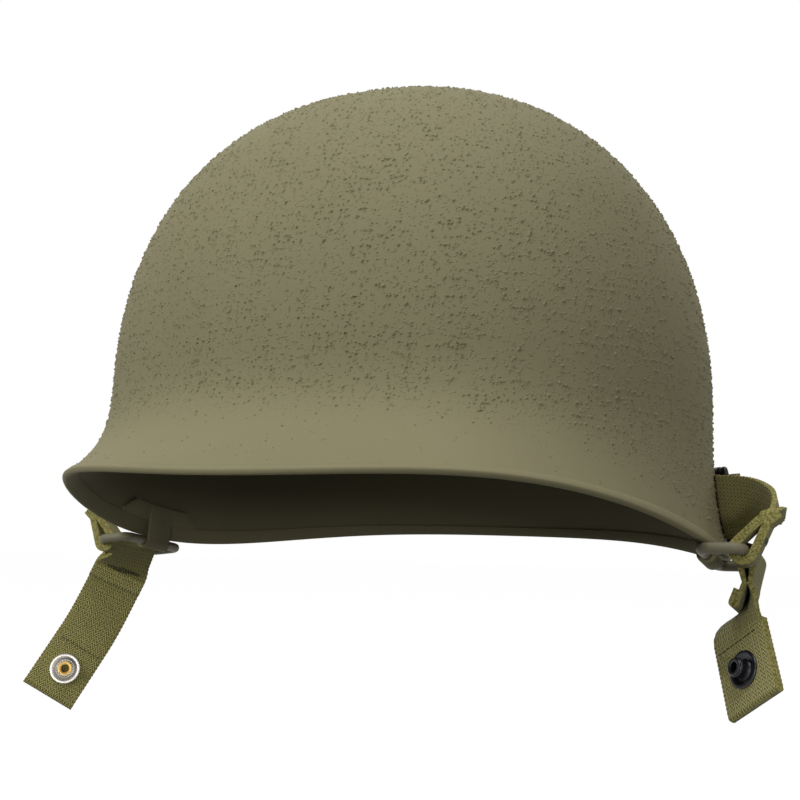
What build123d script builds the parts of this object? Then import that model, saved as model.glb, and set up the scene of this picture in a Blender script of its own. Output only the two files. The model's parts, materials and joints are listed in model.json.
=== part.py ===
from build123d import *
import os
from math import acos, atan2, copysign, cos, degrees, pi, radians, sin

# Steel pot helmet without its liner. Millimetres, +Z up, the visor towards -Y, the wearer's left on +X.
# The origin lies on the middle plane, level with the lowest point of the rim, where the head goes in.

# Pressed steel shell
shell_height = 178.0
steel_gauge = 1.1
rim_half_width = 120.8
visor_reach = 143.2
nape_reach = 139.5
side_flare = 6.1
wall_half_width = rim_half_width - side_flare
brow_reach = 106.3
back_reach = 116.8
spring_height = 52.2
flare_height = 44.5
# The rim rises and falls round the head as a sum of waves, with 1, 2, 3 and 4 crests a turn
rim_wave_heights = (10.7, 6.4, -2.8, -2.2)
# Powers of the rounded outlines: 2 is an ellipse, more is squarer
dome_power = 2.28
plan_power = 2.18
flare_power = 2.18
# Shares of the way down from the crown to the rim
dome_share = 0.6
ring_shares = (0.01, 0.04, 0.09, 0.16, 0.24, 0.33, 0.42, 0.5, 0.56, 0.6, 0.68, 0.76, 0.84, 0.9, 0.95, 1.0)
ring_points = 36

# Rim band, a thin strip folded over the edge of the shell
band_gauge = 0.5
band_clearance = 0.06
band_outer_leg = 3.0
band_inner_leg = 6.0

# Bales, wire loops that swing in brackets inside the rim
wire_diameter = 3.8
bale_spacing = 38.0
bale_arm = 13.0
bale_corner_radius = 3.4
left_bale_centre_y = -14.0
right_bale_centre_y = -2.0
bale_inset = 3.2
bale_drop = 3.7
left_bale_rest_angle = 1.4
right_bale_rest_angle = -7.2

# Bale brackets, pressed sheet welded inside the shell
bracket_gauge = 1.2
bracket_length = 55.0
bracket_lift = 7.0
bracket_end_lift = 1.4
bracket_shoulder = 5.5
# Where the sections of a bracket's plate lie along it
bracket_shares = (0, 0.14, 0.28, 0.5, 0.72, 0.86, 1)
knuckle_length = 15.0
knuckle_sweep = 368.0
knuckle_clearance = 0.1
weld_gap = 0.05

# Webbing
webbing_width = 23.0
webbing_gauge = 1.7
wire_gap = 0.35

# Snap straps, each sewn round the rear part of its bale and ending in a doubled tab with a snap stud
bar_side_gap = 0.6
snap_sewn_depth = 9.5
snap_tail_length = 17.0
snap_hem_length = 4.6
snap_tab_length = 27.0
snap_stud_setback = 13.0
left_snap_lean = 4.0
right_snap_lean = 12.0
# Out from the head, back and up, from the sewn end to the top of the tab, as shares of the tab's length
left_drift_shares = (-0.18, -0.24, -0.26)
right_drift_shares = (0.4, -0.36, -0.87)
# Along and across each tab, in the same axes
left_tab_shares = (0.25, -0.55, -0.8)
right_tab_shares = (0.32, -0.42, -0.85)
across_tab_shares = (-0.69, 0.49, -0.53)
tack_gauge = 0.5
tack_width = 2.6
tack_share = 0.8
stitch_width = 1.1

# Chin strap in two halves, gathered round each bale's front part and stowed round the back of the shell
chin_gather_width = 8.5
chin_gather_gauge = 2.4
chin_loop_height = 12.0
chin_loop_lean = 34.0
chin_skin_gap = 0.4
chin_side_height = 19.5
chin_back_height = 40.0
chin_side_turn = 96.0
chin_bulge = 5.5
chin_tail_length = 34.0
chin_return_length = 13.0

# Buckle of the long half and hook of the short half, behind the wearer's left ear
fitting_turn = 108.0
fitting_height = 29.5
fitting_bar = 2.4
fitting_corner = 1.6
bar_gap = 0.3
buckle_length = 17.0
hook_width = 10.0
hook_gauge = 1.2
hook_sweep = 215.0
clamp_bar_diameter = 2.0
clamp_bar_setback = 5.8
clamp_width = 22.0
clamp_gauge = 1.3
clamp_sweep = 270.0
clamp_teeth = 9
tooth_depth = 0.7
tooth_share = 0.8
pivot_clearance = 0.05
tip_gauge = 0.4
tip_clearance = 0.25
tip_length = 9.0

# Snap studs and the eyelets that clench them through the webbing
stud_flange_diameter = 12.6
stud_flange_gauge = 0.8
stud_post_diameter = 6.4
stud_post_height = 4.4
stud_nose_chamfer = 0.4
stud_bore_diameter = 4.3
eyelet_diameter = 4.1
eyelet_bore_diameter = 3.2
eyelet_flange_diameter = 10.5
eyelet_gauge = 0.6
eyelet_reach = 2.4
fitting_gap = 0.08

overrun = 1.0


def power(value, exponent):
    return copysign(abs(value) ** exponent, value)


def rim_wave(turn):
    return sum(height * cos((crests + 1) * turn) for crests, height in enumerate(rim_wave_heights))


lowest_wave = min(rim_wave(pi * step / 180) for step in range(181))


def rim_height(turn):
    return rim_wave(turn) - lowest_wave


def skin(turn, share):
    """A point of the outer skin: turn runs from the visor to the wearer's left, share from crown to rim."""
    swing = min(share / dome_share, 1) * pi / 2
    rise = max(cos(swing), 0) ** (2 / dome_power)
    girth = sin(swing) ** (2 / dome_power)
    rim_z = rim_height(turn)
    skirt = max(share - dome_share, 0) / (1 - dome_share)
    dome = (shell_height - spring_height) * rise * (skirt == 0)
    z = spring_height + dome + (rim_z - spring_height) * skirt
    across, along = power(sin(turn), 2 / plan_power), power(cos(turn), 2 / plan_power)
    wall_x = wall_half_width * across
    wall_y = -(brow_reach if along > 0 else back_reach) * along
    rim_x = rim_half_width * sin(turn)
    rim_y = -(visor_reach if along > 0 else nape_reach) * cos(turn)
    flare = min(max(1 - (z - rim_z) / flare_height, 0), 1) ** flare_power
    x = wall_x * girth + (rim_x - wall_x) * flare
    y = wall_y * girth + (rim_y - wall_y) * flare
    return Vector(x, y, z)


turn_step = radians(1)
share_step_share = 0.004


def upward(turn, share):
    """The direction up the wall towards the crown."""
    upper = share - share_step_share
    return (skin(turn, upper) - skin(turn, share)).normalized()


def outward(turn, share):
    """The direction square to the skin, away from the head."""
    along_rim = skin(turn + turn_step, share) - skin(turn - turn_step, share)
    return along_rim.cross(upward(turn, share)).normalized()


def near_skin(turn, share, out, up=0):
    """A point beside the skin, out from it and up along it."""
    if share == ring_shares[0]:
        return skin(turn, share) + Vector(0, 0, out)
    return skin(turn, share) + outward(turn, share) * out + upward(turn, share) * up


def share_at(turn, z):
    """How far down the wall a height lies, below the spring of the dome."""
    return dome_share + (1 - dome_share) * (spring_height - z) / (spring_height - rim_height(turn))


def ring(share, out, up=0):
    turns = [2 * pi * step / ring_points for step in range(ring_points)]
    return Wire([Edge.make_spline([near_skin(turn, share, out, up) for turn in turns], periodic=True)])


def make_shell():
    outer = [ring(share, 0) for share in ring_shares]
    inner = [ring(share, -steel_gauge) for share in ring_shares]
    faces = [Face(outer[0]), Face(inner[0])]
    faces += Shell.make_loft(outer).faces() + Shell.make_loft(inner).faces()
    faces += Shell.make_loft([outer[-1], inner[-1]], ruled=True).faces()
    return Solid(Shell(faces))


def make_rim_band():
    near, far = band_clearance, band_clearance + band_gauge
    section = [
        (near, band_outer_leg),
        (far, band_outer_leg),
        (far, -far),
        (-steel_gauge - far, -far),
        (-steel_gauge - far, band_inner_leg),
        (-steel_gauge - near, band_inner_leg),
        (-steel_gauge - near, -near),
        (near, -near),
    ]
    rings = [ring(1, out, up) for out, up in section]
    faces = []
    for first, second in zip(rings, rings[1:] + rings[:1]):
        faces += Shell.make_loft([first, second], ruled=True).faces()
    return Solid(Shell(faces))


class Side:
    """The places of one side's bale and snap strap, worked out on the wearer's left side."""

    def __init__(self, centre_y, rest_angle, lean, drift_shares, tab_shares):
        self.centre_y, self.rest_angle = centre_y, rest_angle
        front, rear = self.post(-bale_spacing / 2), self.post(bale_spacing / 2)
        self.hinge = Plane((front + rear) / 2, x_dir=(1, 0, 0), z_dir=Vector(1, 0, 0).cross(rear - front))
        self.arm = self.hinge * Rot(0, -rest_angle, 0)
        swing = radians(rest_angle)
        bar = self.hinge.from_local_coords((bale_arm * cos(swing), 0, bale_arm * sin(swing)))
        self.bar = Plane(bar, x_dir=self.hinge.x_dir, z_dir=self.hinge.z_dir)
        self.snap_bar = Plane(self.along_bar(snap_shift), x_dir=self.bar.x_dir, z_dir=self.bar.z_dir)
        self.head = self.snap_bar * Rot(0, -lean, 0)
        self.chin_bar = Plane(self.bar * Pos(0, chin_shift, 0) * Rot(0, chin_loop_lean, 0))
        fall = self.bar.x_dir * sin(radians(lean)) - self.bar.z_dir * cos(radians(lean))
        start = self.snap_bar.origin + fall * snap_tail_length
        drift = Vector(*drift_shares) * snap_tab_length
        along = Vector(*tab_shares).normalized()
        pull = drift.length / 3
        end = start + drift
        self.path = Edge.make_bezier(start, start + fall * pull, end - along * pull, end)
        self.tab = self.strap_plane(1)
        post = self.tab.from_local_coords((0, 0, snap_tab_length - snap_stud_setback))
        self.stud = Plane(post, x_dir=self.tab.x_dir, z_dir=-self.tab.y_dir)

    def turn(self, shift):
        """Where the rim crosses a distance back from the bale's middle."""
        y = self.centre_y + shift
        return acos(-y / (visor_reach if y < 0 else nape_reach))

    def post(self, shift):
        """A point of the hinge line, a set drop below the rim."""
        rim_z = rim_height(self.turn(shift))
        return Vector(rim_half_width - bale_inset, self.centre_y + shift, rim_z - bale_drop)

    def along_bar(self, shift):
        return self.bar.from_local_coords((0, shift, 0))

    def strap_plane(self, share):
        """At a share of the snap strap's free middle: X across it, Y away from the head, Z along it."""
        along = self.path.tangent_at(share)
        turned = (1 - cos(pi * share)) / 2
        across = self.bar.y_dir * (1 - turned) + Vector(*across_tab_shares) * turned
        across = (across - along * along.dot(across)).normalized()
        return Plane(self.path.position_at(share), x_dir=across, z_dir=along)


def make_bale(side):
    outline = Pos(bale_arm / 2, 0) * RectangleRounded(bale_arm, bale_spacing, bale_corner_radius)
    path = outline.wire()
    start = Plane(path @ 0, z_dir=path % 0)
    return side.arm * sweep(start * Circle(wire_diameter / 2), path)


def make_bracket(side):
    """A welded plate that follows the shell's inside, with a strip curled round the bale's inner bar."""
    back = -steel_gauge - weld_gap
    front = back - bracket_gauge
    low = band_inner_leg + band_clearance + weld_gap
    sections = []
    for share in bracket_shares:
        shift = (share - 0.5) * bracket_length
        turn = side.turn(shift)
        rise = min((bracket_length / 2 - abs(shift)) / bracket_shoulder, 1)
        high = low + bracket_end_lift + (bracket_lift - bracket_end_lift) * rise
        spots = ((back, low), (back, high), (front, high), (front, low))
        corners = [near_skin(turn, 1, out, up) for out, up in spots]
        sections.append(Wire.make_polygon(corners))
    plate = Solid.make_loft(sections, ruled=True)
    radius = wire_diameter / 2 + knuckle_clearance + bracket_gauge / 2
    seat = side.hinge.to_local_coords(near_skin(side.turn(0), 1, (back + front) / 2, low + bracket_lift))
    start = Vector(seat.X, seat.Z)
    lean = atan2(start.Y, start.X) + acos(radius / start.length)
    touch = Vector(radius * cos(lean), radius * sin(lean))
    curl = CenterArc((0, 0), radius, degrees(lean), knuckle_sweep - degrees(lean))
    strip_profile = trace([Line(start, touch), curl], bracket_gauge)
    return plate + side.hinge * beside_bar(strip_profile, knuckle_length)


loop_radius = wire_diameter / 2 + wire_gap
chin_shift = (wire_diameter + chin_gather_width - bale_spacing) / 2 + bar_side_gap
snap_shift = chin_shift + (chin_gather_width + webbing_width) / 2 + bar_side_gap
upright = Plane.XZ


def mirrored(solid):
    return mirror(solid, about=Plane.YZ)


def leg_lean(gauge, knot_width, knot_height):
    """How far above level the webbing leaves its bend round a bar, on the way to its knot."""
    knot = Vector(knot_width / 2, knot_height)
    return atan2(knot.Y, knot.X) - acos((loop_radius + gauge / 2) / knot.length)


def wrap(gauge, knot_width, knot_height):
    """Webbing bent round a bar, whose two ends meet in a knot above it."""
    radius = loop_radius + gauge / 2
    knot = Vector(knot_width / 2, knot_height)
    lean = leg_lean(gauge, knot_width, knot_height)
    right = Vector(radius * cos(lean), radius * sin(lean))
    left = Vector(-right.X, right.Y)
    bend = CenterArc((0, 0), radius, degrees(lean), -180 - 2 * degrees(lean))
    ring = trace([Line(knot, right), bend, Line(left, (-knot.X, knot.Y))], gauge)
    return ring + Pos(0, knot_height) * Rectangle(knot_width + gauge, gauge)


def beside_bar(profile, width):
    """A profile drawn square to a bar, thickened along it."""
    return Pos(0, width / 2, 0) * (upright * extrude(profile, width))


def strip(sections):
    """A closed strip of webbing whose four long edges run through the corners of its sections."""
    rails = [Edge.make_spline(list(corners)) for corners in zip(*sections)]
    beside = rails[1:] + rails[:1]
    faces = [Face.make_surface_from_curves(first, second) for first, second in zip(rails, beside)]
    for a, b, c, d in (sections[0], sections[-1]):
        faces.append(Face.make_surface_from_curves(Edge.make_line(a, b), Edge.make_line(d, c)))
    return Solid(Shell(faces))


def make_snap_strap(side):
    tail = snap_tail_length - snap_sewn_depth
    loop = Rot(0, 0, 180) * wrap(webbing_gauge, webbing_gauge, snap_sewn_depth)
    leg = Pos(0, -snap_sewn_depth - tail / 2) * Rectangle(2 * webbing_gauge, tail)
    hem = Rectangle(webbing_gauge, snap_hem_length)
    hem = Pos(-1.5 * webbing_gauge, snap_hem_length / 2 - snap_tail_length) * hem
    sewn = side.head * beside_bar(loop + leg + hem, webbing_width)
    half = webbing_width / 2
    ply = ((half, 0, 0), (half, webbing_gauge, 0), (-half, webbing_gauge, 0), (-half, 0, 0))
    ends = side.strap_plane(0), side.strap_plane(1)
    middle = strip([[end.from_local_coords(corner) for corner in ply] for end in ends])
    tab = Box(webbing_width, 2 * webbing_gauge, snap_tab_length)
    tab = Pos(0, webbing_gauge, snap_tab_length / 2) * tab
    tab = fillet(tab.faces().sort_by(Axis.Z)[-1].edges().filter_by(Axis.X), webbing_gauge * 0.9)
    hole = side.stud * Cylinder(eyelet_diameter / 2 + fitting_gap, 6 * webbing_gauge)
    return sewn + middle + side.tab * tab - hole


def make_stud(side):
    flange, post = stud_flange_diameter / 2, stud_post_diameter / 2
    bore, edge = stud_bore_diameter / 2, stud_flange_gauge
    top = fitting_gap + stud_post_height
    outline = Polyline(
        (bore, fitting_gap),
        (flange - edge / 2, fitting_gap),
        (flange, fitting_gap + edge / 2),
        (flange - edge / 2, fitting_gap + edge),
        (post + edge / 2, fitting_gap + edge),
        (post, fitting_gap + 3 * edge / 2),
        (post, top - stud_nose_chamfer),
        (post - stud_nose_chamfer, top),
        (bore, top),
        close=True,
    )
    return side.stud * revolve(Plane.XZ * make_face(outline), Axis.Z)


def make_eyelet(side):
    barrel, bore, flange = eyelet_diameter / 2, eyelet_bore_diameter / 2, eyelet_flange_diameter / 2
    seat, edge = -2 * webbing_gauge - fitting_gap, eyelet_gauge / 2
    outline = Polyline(
        (bore, seat - 2 * edge),
        (flange - edge, seat - 2 * edge),
        (flange, seat - edge),
        (flange - edge, seat),
        (barrel, seat),
        (barrel, eyelet_reach),
        (bore, eyelet_reach),
        close=True,
    )
    return side.stud * revolve(Plane.XZ * make_face(outline), Axis.Z)


def make_bartack(side):
    """Thread sewn across the tail, below the bar."""
    out = -webbing_gauge - fitting_gap - tack_gauge / 2
    down = snap_sewn_depth + fitting_gap + tack_width / 2
    return side.head * Pos(out, 0, -down) * Box(tack_gauge, webbing_width * tack_share, tack_width)


def make_tab_stitch(side):
    """Thread sewn across the doubled tab, above the stud."""
    along = (snap_tab_length - snap_stud_setback - stud_flange_diameter / 2) / 2
    row = Box(webbing_width * tack_share, tack_gauge, stitch_width)
    return side.tab * Pos(0, -fitting_gap - tack_gauge / 2, along) * row


def chin_level(turn):
    """The height of the middle of the chin strap, which climbs towards the back of the shell."""
    side = radians(chin_side_turn)
    share = (min(turn, 2 * pi - turn) - side) / (pi - side)
    return chin_side_height + (chin_back_height - chin_side_height) * (1 - cos(pi * share)) / 2


def chin_edge(turn, side, out):
    """A point of the stowed strap's upper edge, side 1, or its lower, side -1, out from the skin."""
    z = chin_level(turn) + side * webbing_width / 2
    return near_skin(turn, share_at(turn, z), out)


def chin_section(turn, near, far, spare=0):
    edge = 1 + 2 * spare / webbing_width
    sides = ((edge, near - spare), (edge, far + spare), (-edge, far + spare), (-edge, near - spare))
    return [chin_edge(turn, side, out) for side, out in sides]


def free_section(centre, across, facing, width, gauge):
    """A section off the skin, with its first edge across and its outer side facing."""
    across, facing = Vector(across).normalized(), Vector(facing)
    facing = (facing - across * across.dot(facing)).normalized()
    sides = ((-1, -1), (-1, 1), (1, 1), (1, -1))
    return [centre + across * (side * width / 2) + facing * (out * gauge / 2) for side, out in sides]


chin_near = chin_skin_gap
chin_far = chin_near + webbing_gauge
bar_out = chin_far + bar_gap + fitting_bar / 2
return_near = bar_out + fitting_bar / 2 + bar_gap
return_far = return_near + webbing_gauge
tail_near = chin_far + tip_gauge + 2 * tip_clearance
tail_far = tail_near + webbing_gauge


def steps_between(first, last, count):
    return [first + (last - first) * step / (count - 1) for step in range(count)]


def chin_lead(side):
    """The gathered end round the left bale's bar, opening out to the flat webbing behind the ear."""
    loop = wrap(chin_gather_gauge, chin_gather_gauge, chin_loop_height)
    gather = side.chin_bar * beside_bar(loop, chin_gather_width)
    knee = side.chin_bar.from_local_coords((0, 0, chin_loop_height + chin_gather_gauge / 2))
    ear = radians(chin_side_turn)
    seat = (chin_edge(ear, 1, chin_near) + chin_edge(ear, -1, chin_far)) / 2
    way = seat - knee
    gauge, width = 2 * chin_gather_gauge, chin_gather_width
    first = knee + Vector(chin_bulge * 0.6, way.Y * 0.12, way.Z * 0.3)
    second = knee + Vector(way.X * 0.15 + chin_bulge, way.Y * 0.4, way.Z * 0.7)
    third = knee + Vector(way.X * 0.6 + chin_bulge * 0.8, way.Y * 0.75, way.Z * 0.95)
    sections = [
        free_section(knee, side.chin_bar.y_dir, side.chin_bar.x_dir, width, gauge),
        free_section(first, (0, 1, -0.4), (1, 0, 0), width + webbing_width * 0.1, gauge * 0.8),
        free_section(second, (0, 0.6, -1), (1, 0.1, 0), width + webbing_width * 0.3, gauge * 0.6),
        free_section(third, (0, 0.15, -1), (1, 0.1, 0), webbing_width * 0.9, webbing_gauge * 1.2),
        chin_section(ear, chin_near, chin_far),
    ]
    return gather + strip(sections)


def fitting_frame():
    """Axes of the buckle and hook: X back along the strap, Y up, Z out from the head, from the skin."""
    turn = radians(fitting_turn)
    low, high = chin_edge(turn, -1, 0), chin_edge(turn, 1, 0)
    rise = (high - low).normalized()
    back = chin_edge(turn + turn_step, -1, 0) - low
    back = (back - rise * back.dot(rise)).normalized()
    return Plane((low + high) / 2, x_dir=back, z_dir=back.cross(rise))


fitting = fitting_frame()
wrap_reach = (return_far - chin_near) / 2
hook_length = wrap_reach + bar_gap + 2 * fitting_bar + 2 * hook_gauge
hook_bar = -(hook_length + buckle_length - fitting_bar) / 2
front_bar = hook_bar + hook_length
rear_bar = front_bar + buckle_length - fitting_bar
clamp_bar = front_bar + clamp_bar_setback
chin_tail_end = rear_bar + chin_tail_length


def fitting_section(along, near, far):
    sides = ((1, near), (1, far), (-1, far), (-1, near))
    return [fitting.from_local_coords((along, side * webbing_width / 2, out)) for side, out in sides]


def fitting_bend(along, first_angle):
    """Webbing bent half round an upright bar of the buckle or hook."""
    radius = wrap_reach - webbing_gauge / 2
    arc = trace(CenterArc((0, 0), radius, first_angle, 180), webbing_gauge)
    return fitting * Pos(along, 0, bar_out) * beside_bar(arc, webbing_width)


def turn_beside(along):
    """The turn at which the skin lies beside a place of the buckle."""
    return radians(fitting_turn) + along / fitting.origin.length


def make_short_half():
    turns = steps_between(radians(chin_side_turn), turn_beside(hook_bar - chin_return_length / 2), 2)
    sections = [chin_section(turn, chin_near, chin_far) for turn in turns]
    run = strip(sections + [fitting_section(hook_bar, chin_near, chin_far)])
    places = hook_bar - chin_return_length, hook_bar
    back = strip([fitting_section(place, return_near, return_far) for place in places])
    return chin_lead(left) + run + fitting_bend(hook_bar, -90) + back


def make_long_half():
    """From the right bale round the back of the shell to the buckle, where it turns back on itself."""
    turns = steps_between(2 * pi - radians(chin_side_turn), turn_beside(rear_bar + chin_return_length), 16)
    sections = [chin_section(turn, chin_near, chin_far) for turn in turns]
    run = strip(sections + [fitting_section(rear_bar, chin_near, chin_far)])
    settled = turn_beside(rear_bar + chin_return_length)
    end = turn_beside(chin_tail_end)
    tail = strip(
        [fitting_section(rear_bar, return_near, return_far)]
        + [chin_section(turn, tail_near, tail_far) for turn in steps_between(settled, end, 4)]
    )
    lead = mirrored(chin_lead(right))
    return lead + run + fitting_bend(rear_bar, 90) + tail


def fitting_ring(first_bar, last_bar):
    """A wire frame that stands square to the strap, between two of its bars."""
    size = last_bar - first_bar, fitting_height - fitting_bar
    outline = Pos((first_bar + last_bar) / 2, 0, bar_out) * RectangleRounded(*size, fitting_corner)
    path = outline.wire()
    return sweep(Plane(path @ 0, z_dir=path % 0) * Circle(fitting_bar / 2), path)


def make_buckle_frame():
    pivot = Cylinder(clamp_bar_diameter / 2, fitting_height - fitting_bar)
    pivot = Pos(clamp_bar, 0, bar_out) * Rot(90, 0, 0) * pivot
    return fitting * (fitting_ring(front_bar, rear_bar) + pivot)


def make_buckle_clamp():
    """A plate curled round the pivot bar, with a toothed edge that faces the webbing on the rear bar."""
    radius = clamp_bar_diameter / 2 + pivot_clearance + clamp_gauge / 2
    reach = rear_bar - wrap_reach - bar_gap - clamp_bar
    curl = [CenterArc((0, 0), radius, 90, clamp_sweep), Line((0, radius), (reach - tooth_depth, radius))]
    plate = beside_bar(trace(curl, clamp_gauge), clamp_width)
    pitch = clamp_width / clamp_teeth
    half = pitch * tooth_share / 2
    corners = ((-tooth_depth, -half), (0, -half), (tooth_depth, 0), (0, half), (-tooth_depth, half))
    outline = Polyline(*corners, close=True)
    tooth = Pos(reach - tooth_depth, 0, radius - clamp_gauge / 2) * extrude(make_face(outline), clamp_gauge)
    teeth = [Pos(0, pitch * (step - (clamp_teeth - 1) / 2), 0) * tooth for step in range(clamp_teeth)]
    return fitting * Pos(clamp_bar, 0, bar_out) * (plate + teeth)


def make_hook_plate():
    """A frame for the short half's webbing, with a tongue hooked over the buckle's front bar."""
    cross_bar = front_bar - fitting_bar - 2 * hook_gauge - fitting_bar / 2
    radius = fitting_bar / 2 + knuckle_clearance + hook_gauge / 2
    reach = front_bar - cross_bar
    lean = pi - acos(radius / reach)
    touch = (radius * cos(lean), radius * sin(lean))
    curl = [Line((-reach, 0), touch), CenterArc((0, 0), radius, degrees(lean), -hook_sweep)]
    tongue = Pos(front_bar, 0, bar_out) * beside_bar(trace(curl, hook_gauge), hook_width)
    return fitting * (fitting_ring(hook_bar, cross_bar) + tongue)


def make_strap_tip():
    """A crimped metal end on the long half's free tail."""
    shut, mouth = chin_tail_end + tip_clearance, chin_tail_end - tip_length
    spare = tip_clearance + tip_gauge
    outer = steps_between(turn_beside(mouth), turn_beside(shut + tip_gauge), 3)
    inner = steps_between(turn_beside(mouth - overrun), turn_beside(shut), 3)
    sleeve = strip([chin_section(turn, tail_near, tail_far, spare) for turn in outer])
    return sleeve - strip([chin_section(turn, tail_near, tail_far, tip_clearance) for turn in inner])


def make_hook_tack():
    place = Pos(hook_bar - chin_return_length + tack_width, 0, return_far + fitting_gap + tack_gauge / 2)
    return fitting * place * Box(tack_width, webbing_width * tack_share, tack_gauge)


def make_chin_tack(side):
    """Thread sewn through the gathered end, on the leg of its loop that faces out."""
    lean = leg_lean(chin_gather_gauge, chin_gather_gauge, chin_loop_height)
    out = loop_radius + chin_gather_gauge + fitting_gap + tack_gauge / 2
    along = chin_loop_height / 2
    leg = side.chin_bar * Rot(0, -degrees(lean), 0)
    return leg * Pos(out, 0, along) * Box(tack_gauge, chin_gather_width * tack_share, tack_width)


left = Side(
    left_bale_centre_y,
    left_bale_rest_angle,
    left_snap_lean,
    left_drift_shares,
    left_tab_shares,
)
right = Side(
    right_bale_centre_y,
    right_bale_rest_angle,
    right_snap_lean,
    right_drift_shares,
    right_tab_shares,
)

makers = {
    "bale_bracket": make_bracket,
    "bale": make_bale,
    "snap_strap": make_snap_strap,
    "snap_stud": make_stud,
    "snap_eyelet": make_eyelet,
    "snap_bartack": make_bartack,
    "tab_stitching": make_tab_stitch,
    "chin_bartack": make_chin_tack,
}

nodes = {
    "steel_shell": make_shell(),
    "rim_band": make_rim_band(),
    "chin_strap_short": make_short_half(),
    "chin_strap_long": make_long_half(),
    "chin_strap_tip": make_strap_tip(),
    "buckle_frame": make_buckle_frame(),
    "buckle_clamp": make_buckle_clamp(),
    "hook_plate": make_hook_plate(),
    "hook_bartack": make_hook_tack(),
}
for name, make in makers.items():
    nodes[f"left_{name}"] = make(left)
    nodes[f"right_{name}"] = mirrored(make(right))

if __name__ == "__main__":
    os.makedirs("parts", exist_ok=True)
    for name, solid in nodes.items():
        print(name, round(solid.volume, 1), solid.is_valid, len(solid.solids()), len(solid.faces()))
        export_step(solid, f"parts/{name}.step")
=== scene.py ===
import json
import random
from math import acos, atan2, copysign, cos, pi, radians, sin, sqrt

import bmesh
import bpy
from mathutils import Matrix, Vector, noise
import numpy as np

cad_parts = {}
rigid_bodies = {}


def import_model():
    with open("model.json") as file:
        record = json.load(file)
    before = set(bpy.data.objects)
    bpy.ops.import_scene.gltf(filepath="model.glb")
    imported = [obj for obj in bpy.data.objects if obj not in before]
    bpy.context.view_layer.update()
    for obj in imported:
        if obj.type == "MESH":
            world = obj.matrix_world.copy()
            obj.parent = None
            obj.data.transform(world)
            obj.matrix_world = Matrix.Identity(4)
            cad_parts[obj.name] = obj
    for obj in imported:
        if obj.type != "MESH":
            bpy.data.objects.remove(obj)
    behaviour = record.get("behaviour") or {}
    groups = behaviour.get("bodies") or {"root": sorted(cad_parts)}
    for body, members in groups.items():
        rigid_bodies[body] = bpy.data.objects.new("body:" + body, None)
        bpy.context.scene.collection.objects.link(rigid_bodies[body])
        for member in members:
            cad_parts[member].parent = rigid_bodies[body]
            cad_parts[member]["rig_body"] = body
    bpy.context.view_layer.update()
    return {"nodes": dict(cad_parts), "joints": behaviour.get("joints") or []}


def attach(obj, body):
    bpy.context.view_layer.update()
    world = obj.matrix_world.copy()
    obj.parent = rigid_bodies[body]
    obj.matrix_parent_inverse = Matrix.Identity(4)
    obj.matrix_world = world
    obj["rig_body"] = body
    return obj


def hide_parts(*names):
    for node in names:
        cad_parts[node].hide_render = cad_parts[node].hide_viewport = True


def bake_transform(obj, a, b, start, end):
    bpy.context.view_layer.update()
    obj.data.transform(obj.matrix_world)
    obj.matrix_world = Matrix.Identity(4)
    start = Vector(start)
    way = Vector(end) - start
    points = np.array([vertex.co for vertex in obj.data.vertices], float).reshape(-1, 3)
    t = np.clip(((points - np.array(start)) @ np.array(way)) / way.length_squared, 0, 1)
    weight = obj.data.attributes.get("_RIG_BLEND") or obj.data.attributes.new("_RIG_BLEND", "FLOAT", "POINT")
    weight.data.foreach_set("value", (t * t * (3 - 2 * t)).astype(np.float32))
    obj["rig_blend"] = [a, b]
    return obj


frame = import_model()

bl_info = {
    "name": "Steel Pot Helmet",
    "version": (1, 0, 0),
    "blender": (4, 5, 0),
    "location": "View3D > Sidebar > Helmet",
    "description": "Grit-painted shell, woven straps, snap fasteners and buckle of a steel pot helmet",
    "category": "Object",
}

# Lengths are in millimetres until a mesh is made, with +Z up, the visor on -Y and the wearer's left on +X
MM = 0.001
webbing_width = 23.0


def colour_property(name, what, default):
    description = f"{what}, as an sRGB hex value"
    return bpy.props.StringProperty(name=name, description=description, default=default)


def length_property(name, what, default, least):
    description = f"{what}, in millimetres"
    return bpy.props.FloatProperty(name=name, description=description, default=default, min=least)


def power_property(name, default):
    description = f"Power of the {name.lower()}"
    return bpy.props.FloatProperty(name=name, description=description, default=default, unit="POWER")


class PaintSettings(bpy.types.PropertyGroup):
    """The shell's paint and grit"""

    colour: colour_property("Paint", "Olive paint", "827D5F")
    # The inside paint is a little darker than the outer paint, partly as painted shade for the inside of the
    # bowl
    inside: colour_property("Inside", "Paint inside the shell", "7A7559")
    grain_count: bpy.props.IntProperty(
        name="Grains", description="Grains of grit under the paint", default=14500, min=0
    )
    grain_length: length_property("Grain length", "Usual length of a grain", 1.15, 0.2)
    grain_height: length_property("Grain height", "How far a grain stands out", 0.36, 0.05)


class WebbingSettings(bpy.types.PropertyGroup):
    """The straps' webbing"""

    colour: colour_property("Yarn", "Yarn colour", "B3AD72")
    # The gaps' colour is painted shade, where the yarns dip between each other
    shade: colour_property("Gaps", "Colour between the yarns", "625C26")
    width: length_property("Width", "Webbing width", webbing_width, 5.0)
    gauge: length_property("Gauge", "Webbing thickness", 1.7, 0.3)
    # Rib and pick are drawn coarser than real ones, so that the weave shows in a picture of the helmet
    rib: length_property("Rib", "Width of a herringbone rib", 1.35, 0.3)
    pick: length_property("Pick", "Yarn spacing along the webbing", 1.6, 0.2)


class StageSettings(bpy.types.PropertyGroup):
    """The floor, lamps and camera"""

    floor_height: bpy.props.FloatProperty(
        name="Floor", description="Height of the floor", default=-0.17, unit="LENGTH"
    )
    main_power: power_property("Main lamp", 12.9)
    top_power: power_property("Top lamp", 14.0)
    fill_power: power_property("Fill lamp", 2.6)
    low_power: power_property("Low lamp", 4.0)
    sky: bpy.props.FloatProperty(
        name="Sky", description="Strength of the light from all round", default=0.09, min=0.0
    )


def settings(name):
    return getattr(bpy.context.scene, "helmet_" + name)


# The shell's skin, the same curves as the part's source

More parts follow.
